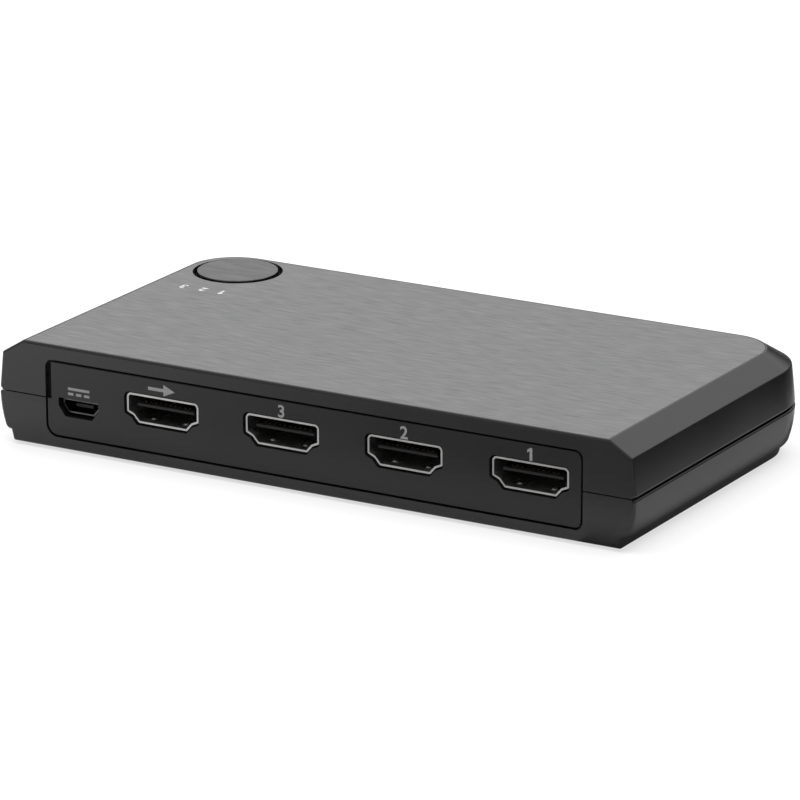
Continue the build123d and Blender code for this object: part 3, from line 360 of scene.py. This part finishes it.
# Video sockets
# Shells folded from nickel-plated steel, gold-plated contacts on a black insulator's tongue.
# Each spring cut in a shell is pressed into a small dimple, which grips the plug.
socket_metal = plated_metal("socket_metal", (0.62, 0.615, 0.605), (0.78, 0.775, 0.765), 0.32, 0.48, 0.0015)
insulator_plastic = moulded_plastic("insulator_plastic", (0.007, 0.007, 0.007), 0.5, 0.0002, 0.000006)
# the contacts' gold is painted far darker than gold, as painted shade for the inside of the sockets
contact_gold = plated_metal("contact_gold", (0.24, 0.165, 0.07), (0.34, 0.24, 0.1), 0.3, 0.45, 0.0005)
spring_aside = 0.0033
spring_depth = 0.0027
spring_drops = (0.0003, 0.00498)
spring_places = []
for name in socket_names:
    finish_node(name + "_socket_shell", socket_metal)
    finish_node(name + "_socket_insulator", insulator_plastic)
    finish_node(name + "_socket_contacts", contact_gold)
    shell_low, shell_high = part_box(name + "_socket_shell")
    for side in (-spring_aside, spring_aside):
        for drop in spring_drops:
            spring_x = (shell_low.x + shell_high.x) / 2 + side
            spring_places.append((spring_x, shell_low.y + spring_depth, shell_high.z - drop))
dimple_sizes = {"Radius": 0.0006, "Squash": (1.0, 1.3, 0.6)}
dimple_form = "GeometryNodeMeshUVSphere"
repeated_shape("spring_dimples", spring_places, dimple_form, dimple_sizes, socket_metal)

# Power inlet
# A much smaller shell of the same folded steel, coloured much darker than the video sockets' shells, with an
# insulator and five contacts.
inlet_metal = plated_metal("inlet_metal", (0.1, 0.1, 0.1), (0.15, 0.15, 0.148), 0.26, 0.4, 0.001)
finish_node("power_socket_shell", inlet_metal)
finish_node("power_socket_insulator", insulator_plastic)
# the inlet's contacts take the same gold with painted shade
finish_node("power_socket_contacts", contact_gold)

# Chips and regulator
# Black moulded epoxy, slightly rough, with tinned leads bent down to the board.
chip_plastic = moulded_plastic("chip_plastic", (0.018, 0.018, 0.019), 0.55, 0.00018, 0.00001)
for node in ["video_switch_chip", "control_chip", "voltage_regulator", "surge_arrays"]:
    finish_node(node, chip_plastic)
finish_node("control_chip_leads", tinned_metal)

# Resistors and ceramic capacitors
# Small blocks, black over white for the resistors and fired tan for the capacitors.
# Tinned caps wrap both ends of each block and stand out from it by the thickness of the tin.
ceramic_tan = moulded_plastic("ceramic_tan", (0.3, 0.19, 0.1), 0.5, 0.00015, 0.000004)
finish_node("resistors", chip_plastic)
finish_node("ceramic_capacitors", ceramic_tan)


def end_caps(name, node, columns, rows, block_length, block_width):
    """Tinned caps on both ends of a node's small blocks, which stand in even columns and rows."""
    low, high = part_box(node)
    height = high.z - low.z
    pitch_x = (high.x - low.x - block_length) / (columns - 1)
    pitch_y = (high.y - low.y - block_width) / (rows - 1)
    places = []
    for column in range(columns):
        for row in range(rows):
            y = low.y + block_width / 2 + pitch_y * row
            for end in (cap_middle, block_length - cap_middle):
                places.append((low.x + pitch_x * column + end, y, low.z + height / 2 + tin / 2))
    cap = {"Size": (cap_length, block_width + 2 * tin, height + tin)}
    repeated_shape(name, places, "GeometryNodeMeshCube", cap, tinned_metal)


tin = 0.00002
cap_length = 0.00034
cap_middle = 0.00015
end_caps("resistor_caps", "resistors", 8, 2, block_length=0.0016, block_width=0.0008)
end_caps("ceramic_caps", "ceramic_capacitors", 5, 2, block_length=0.0016, block_width=0.0008)

# Crystal and bulk capacitors
# A drawn steel can, and two aluminium cans whose tops carry a black segment over the negative lead.
crystal_can = plated_metal("crystal_can", (0.5, 0.5, 0.49), (0.62, 0.62, 0.6), 0.2, 0.32, 0.002)
finish_node("crystal", crystal_can)
capacitor_can = plated_metal("capacitor_can", (0.6, 0.6, 0.61), (0.72, 0.72, 0.72), 0.28, 0.42, 0.001)
finish_node("bulk_capacitors", capacitor_can)
can_low, can_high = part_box("bulk_capacitors")
can_radius = (can_high.y - can_low.y) / 2
segment_width = 0.0038
segment_aside = 0.00165
segment_turns = [math.radians(120 + 10 * step) for step in range(13)]
segment = [(math.cos(turn), math.sin(turn)) for turn in segment_turns]
for number, can_x in [(1, can_low.x + can_radius), (2, can_high.x - can_radius)]:
    name = f"capacitor_{number}_mark"
    place = (can_x - segment_aside, (can_low.y + can_high.y) / 2, can_high.z)
    shape = outline_shape([segment])
    printed_mark(name, shape, segment_width, place, (1, 0, 0), (0, 1, 0), chip_plastic)

# Indicator lamps and light guide
# Milky lamp bodies on the board, and a clear moulded guide that ends in three windows at the far side.
lamp_plastic = moulded_plastic("lamp_plastic", (0.6, 0.58, 0.5), 0.35, 0.0003, 0.000004)
finish_node("indicator_lamps", lamp_plastic)
clear_plastic, clear_tree, clear_shader = start_material("clear_plastic", (0.8, 0.81, 0.82), 0.2)
clear_shader.inputs["Transmission Weight"].default_value = 0.75
clear_shader.inputs["IOR"].default_value = 1.49
vary_roughness(clear_tree, clear_shader, grain(clear_tree, 0.0008), 0.14, 0.3)
finish_node("light_guide", clear_plastic)

# Push switch
# A black body with a bright pressed cover, and a dark plunger that the button's stem meets.
# The snap dome of thin spring steel below it snaps flat as the plunger comes down.
switch_metal = plated_metal("switch_metal", (0.5, 0.5, 0.5), (0.66, 0.66, 0.66), 0.2, 0.36, 0.0008)
plunger_plastic = moulded_plastic("plunger_plastic", (0.03, 0.03, 0.03), 0.4, 0.0002, 0.000005)
finish_node("switch_body", insulator_plastic)
finish_node("switch_cover", switch_metal)
snap_dome = bpy.data.objects.new("snap_dome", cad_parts["switch_dome"].data.copy())
bpy.context.scene.collection.objects.link(snap_dome)
snap_dome.data.materials.clear()
snap_dome.data.materials.append(switch_metal)
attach(snap_dome, "box")
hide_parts("switch_dome")
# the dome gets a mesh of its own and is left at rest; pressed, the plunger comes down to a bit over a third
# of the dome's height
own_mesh(snap_dome)
finish_node("switch_terminals", tinned_metal)
finish_node("switch_plunger", plunger_plastic)


# Top plate
# Anodised grey sheet let into the top flush with the rim, brushed along its length.
# A small print beside the button gives the order in which it steps through the inputs.
def brushed_sheet(name, dark, light, roughness):
    """Brushed metal: fine scratches along X over short, broader streaks of tone."""
    material, tree, shader = start_material(name, light, roughness, 1.0)
    scratches = grain(tree, 0.00014, stretch=(45.0, 1.0, 1.0))
    streaks = grain(tree, 0.00045, stretch=(11.0, 1.0, 1.0), seed=(3.0, 7.0, 1.0))
    both = tree.nodes.new("ShaderNodeMix")
    both.inputs["Factor"].default_value = 0.6
    tree.links.new(scratches, both.inputs["A"])
    tree.links.new(streaks, both.inputs["B"])
    vary_colour(tree, shader, both.outputs["Result"], dark, light)
    vary_roughness(tree, shader, scratches, roughness - 0.06, roughness + 0.08)
    raise_grain(tree, shader, scratches, 0.000006, 0.35)
    shader.inputs["Anisotropic"].default_value = 0.5
    across = tree.nodes.new("ShaderNodeCombineXYZ")
    across.inputs["Y"].default_value = 1.0
    tree.links.new(across.outputs["Vector"], shader.inputs["Tangent"])
    return material


brushed_plate = brushed_sheet("brushed_plate", (0.265, 0.265, 0.267), (0.48, 0.48, 0.483), 0.4)
finish_node("top_plate", brushed_plate)
plate_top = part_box("top_plate")[1].z
white_ink = printed_ink("white_ink", (0.42, 0.42, 0.42), (0.6, 0.6, 0.6))
order_height = 0.0021
order_y = 0.0077
for number, x in [(1, -0.0437), (2, -0.0478), (3, -0.0519)]:
    name = f"order_mark_{number}"
    place = (x, order_y, plate_top)
    shape = outline_shape([numeral_one]) if number == 1 else letter_shape(str(number))
    printed_mark(name, shape, order_height, place, (-1, 0, 0), (0, -1, 0), white_ink)

# Select button
# A moulded black cap that slides in the upper casing, topped by a disc of the plate's brushed sheet.
button_plastic = moulded_plastic("button_plastic", (0.008, 0.008, 0.0084), 0.3)
finish_node("select_button", button_plastic)
brushed_disc = brushed_sheet("brushed_disc", (0.195, 0.195, 0.197), (0.355, 0.355, 0.358), 0.4)
finish_node("button_disc", brushed_disc)

# Floor and lights
# A white floor and a plain white surround under one broad soft light. Dark cards that only reflections see
# lie just over the floor round the box. A big round tent of the same kind is nearly black low down all
# round; above that it is clear behind, and half dark overhead and in front.
def seen_directly(tree):
    """One for rays that show the background itself: from the camera, in a reflection or through something."""
    path = tree.nodes.new("ShaderNodeLightPath")
    total = path.outputs["Is Camera Ray"]
    for kind in ["Is Glossy Ray", "Is Transmission Ray"]:
        both = tree.nodes.new("ShaderNodeMath")
        both.operation = "MAXIMUM"
        tree.links.new(total, both.inputs[0])
        tree.links.new(path.outputs[kind], both.inputs[1])
        total = both.outputs[0]
    return total


floor_paint, floor_tree, floor_shader = start_material("floor_paint", (0.9, 0.9, 0.9), 0.9)
floor_shader.inputs["Specular IOR Level"].default_value = 0.0
lift = floor_tree.nodes.new("ShaderNodeMath")
lift.operation = "MULTIPLY"
lift.inputs[1].default_value = 0.65  # the share of its own white; the rest keeps the shadow
glow = floor_tree.nodes.new("ShaderNodeEmission")
glow.inputs["Strength"].default_value = 1.0
floor_mix = floor_tree.nodes.new("ShaderNodeMixShader")
floor_surface = floor_tree.nodes["Material Output"].inputs["Surface"]
floor_tree.links.new(seen_directly(floor_tree), lift.inputs[0])
floor_tree.links.new(lift.outputs[0], floor_mix.inputs["Fac"])
floor_tree.links.new(floor_shader.outputs[0], floor_mix.inputs[1])
floor_tree.links.new(glow.outputs[0], floor_mix.inputs[2])
floor_tree.links.new(floor_mix.outputs[0], floor_surface)
floor_mesh = bpy.data.meshes.new("floor")
floor_reach = 3.0
floor_z = -0.00005
floor_sides = [(-1, -1), (1, -1), (1, 1), (-1, 1)]
floor_corners = [(floor_reach * x, floor_reach * y, floor_z) for x, y in floor_sides]
floor_mesh.from_pydata(floor_corners, [], [(0, 1, 2, 3)])
floor_mesh.materials.append(floor_paint)
floor = bpy.data.objects.new("floor", floor_mesh)
bpy.context.scene.collection.objects.link(floor)


def smooth_step(tree, value, first, last, start=0.0, end=1.0):
    """Run smoothly from start to end as the value goes from first to last."""
    step = tree.nodes.new("ShaderNodeMapRange")
    step.interpolation_type = "SMOOTHSTEP"
    step.inputs["From Min"].default_value = first
    step.inputs["From Max"].default_value = last
    step.inputs["To Min"].default_value = start
    step.inputs["To Max"].default_value = end
    tree.links.new(value, step.inputs["Value"])
    return step.outputs["Result"]


def product(tree, first, second):
    """The product of two amounts."""
    times = tree.nodes.new("ShaderNodeMath")
    times.operation = "MULTIPLY"
    tree.links.new(first, times.inputs[0])
    tree.links.new(second, times.inputs[1])
    return times.outputs[0]


def start_card(name):
    """A card's material, the tree in it and the shader that mixes clear with black."""
    material = bpy.data.materials.new(name + "_shade")
    material.use_nodes = True
    tree = material.node_tree
    tree.nodes.clear()
    clear = tree.nodes.new("ShaderNodeBsdfTransparent")
    black = tree.nodes.new("ShaderNodeBsdfDiffuse")
    black.inputs["Color"].default_value = (0.0, 0.0, 0.0, 1.0)
    mix = tree.nodes.new("ShaderNodeMixShader")
    output = tree.nodes.new("ShaderNodeOutputMaterial")
    tree.links.new(clear.outputs[0], mix.inputs[1])
    tree.links.new(black.outputs[0], mix.inputs[2])
    tree.links.new(mix.outputs[0], output.inputs["Surface"])
    return material, tree, mix


def place_card(name, mesh, material):
    """Stand a card in the studio, where nothing but a reflection sees it."""
    mesh.materials.append(material)
    card = bpy.data.objects.new(name, mesh)
    bpy.context.scene.collection.objects.link(card)
    card.visible_camera = False
    card.visible_diffuse = False
    card.visible_shadow = False
    card.visible_transmission = False


def floor_card(name, low, high, edges, depth, height):
    """A card from low to high, this dark, its edges faded over these widths along X and Y. Each card has
    a height of its own over the floor, because two at one height would hide each other."""
    material, tree, mix = start_card(name)
    place = tree.nodes.new("ShaderNodeTexCoord")
    apart = tree.nodes.new("ShaderNodeSeparateXYZ")
    tree.links.new(place.outputs["Object"], apart.inputs["Vector"])
    shade = smooth_step(tree, apart.outputs["X"], low[0], low[0] + edges[0], 0.0, depth)
    for axis, first, last in [
        ("X", high[0], high[0] - edges[0]),
        ("Y", low[1], low[1] + edges[1]),
        ("Y", high[1], high[1] - edges[1]),
    ]:
        shade = product(tree, shade, smooth_step(tree, apart.outputs[axis], first, last))
    tree.links.new(shade, mix.inputs["Fac"])
    mesh = bpy.data.meshes.new(name)
    corners = [(low[0], low[1]), (high[0], low[1]), (high[0], high[1]), (low[0], high[1])]
    mesh.from_pydata([(x, y, height) for x, y in corners], [], [(0, 1, 2, 3)])
    place_card(name, mesh, material)


floor_card("side_card", (0.0775, -0.04), (0.6, 0.9), (0.018, 0.02), 1.0, 0.0003)
floor_card("edge_card", (0.056, -0.05), (0.2, 0.2), (0.004, 0.02), 0.46, 0.0004)
floor_card("front_card", (-0.14, -0.6), (0.4, -0.038), (0.16, 0.026), 0.74, 0.0005)
floor_card("front_foot_card", (-0.1, -0.052), (0.1, -0.02), (0.06, 0.01), 0.42, 0.00055)
floor_card("foot_card", (0.052, -0.046), (0.0646, 0.05), (0.0013, 0.012), 0.75, 0.0006)
floor_card("back_card", (-0.6, 0.058), (0.6, 1.2), (0.03, 0.02), 0.8, 0.0007)


def facing(tree, direction):
    """How far a place on the tent lies this way from its middle, as a share of its radius."""
    place = tree.nodes.new("ShaderNodeTexCoord")
    towards = tree.nodes.new("ShaderNodeVectorMath")
    towards.operation = "DOT_PRODUCT"
    towards.inputs[1].default_value = [share / tent_radius for share in direction]
    tree.links.new(place.outputs["Object"], towards.inputs[0])
    return towards.outputs["Value"]


tent_radius = 2.5
tent_shade, tent_tree, tent_mix = start_card("tent")
rising = smooth_step(tent_tree, facing(tent_tree, (-0.2, 0.0, 1.0)), 0.2, 0.44, 0.05, 1.0)
behind = smooth_step(tent_tree, facing(tent_tree, (-0.1, 0.8, -0.6)), -0.25, 0.3, 0.45, 1.0)
dark = tent_tree.nodes.new("ShaderNodeMath")
dark.operation = "SUBTRACT"
dark.inputs[0].default_value = 1.0
tent_tree.links.new(product(tent_tree, rising, behind), dark.inputs[1])
tent_tree.links.new(dark.outputs[0], tent_mix.inputs["Fac"])
tent_work = bmesh.new()
bmesh.ops.create_icosphere(tent_work, subdivisions=4, radius=tent_radius)
bmesh.ops.reverse_faces(tent_work, faces=tent_work.faces)
tent_mesh = bpy.data.meshes.new("tent")
tent_work.to_mesh(tent_mesh)
tent_work.free()
place_card("tent", tent_mesh, tent_shade)

soft_light = bpy.data.lights.new("soft_light", "AREA")
soft_light.shape = "RECTANGLE"
soft_light.size = 1.6
soft_light.size_y = 1.6
soft_light.energy = 24.0
soft_lamp = bpy.data.objects.new("soft_light", soft_light)
soft_lamp.matrix_world = Matrix.Translation((-0.1, 0.1, 1.2))
soft_lamp.visible_camera = False
soft_lamp.visible_glossy = False
bpy.context.scene.collection.objects.link(soft_lamp)

world = bpy.data.worlds.new("studio")
world.use_nodes = True
bpy.context.scene.world = world
sky = world.node_tree
sky.nodes.clear()
surround = sky.nodes.new("ShaderNodeBackground")
surround.inputs["Color"].default_value = (1.0, 1.0, 1.0, 1.0)
surround.inputs["Strength"].default_value = 0.55
white = sky.nodes.new("ShaderNodeBackground")
white.inputs["Color"].default_value = (1.0, 1.0, 1.0, 1.0)
white.inputs["Strength"].default_value = 1.0
choice = sky.nodes.new("ShaderNodeMixShader")
sky_output = sky.nodes.new("ShaderNodeOutputWorld")
sky.links.new(seen_directly(sky), choice.inputs["Fac"])
sky.links.new(surround.outputs[0], choice.inputs[1])
sky.links.new(white.outputs[0], choice.inputs[2])
sky.links.new(choice.outputs[0], sky_output.inputs["Surface"])

# Camera
# A long lens about a metre away, to the right of the socket side and a little above it. Its place and
# turns are those of the camera fitted to the photograph.
lens = bpy.data.cameras.new("camera")
lens.sensor_width = 36.0
lens.lens = 252.93
lens.clip_start = 0.05
lens.clip_end = 20.0
camera = bpy.data.objects.new("camera", lens)
turn = Matrix.Rotation(math.radians(30.1949), 4, "Z")
tip = Matrix.Rotation(math.radians(90 - 17.2919), 4, "X")
roll = Matrix.Rotation(math.radians(-0.1662), 4, "Z")
camera.matrix_world = Matrix.Translation((0.475075, -0.81998, 0.30279)) @ turn @ tip @ roll
bpy.context.scene.collection.objects.link(camera)
bpy.context.scene.camera = camera
bpy.context.scene.view_settings.view_transform = "Standard"
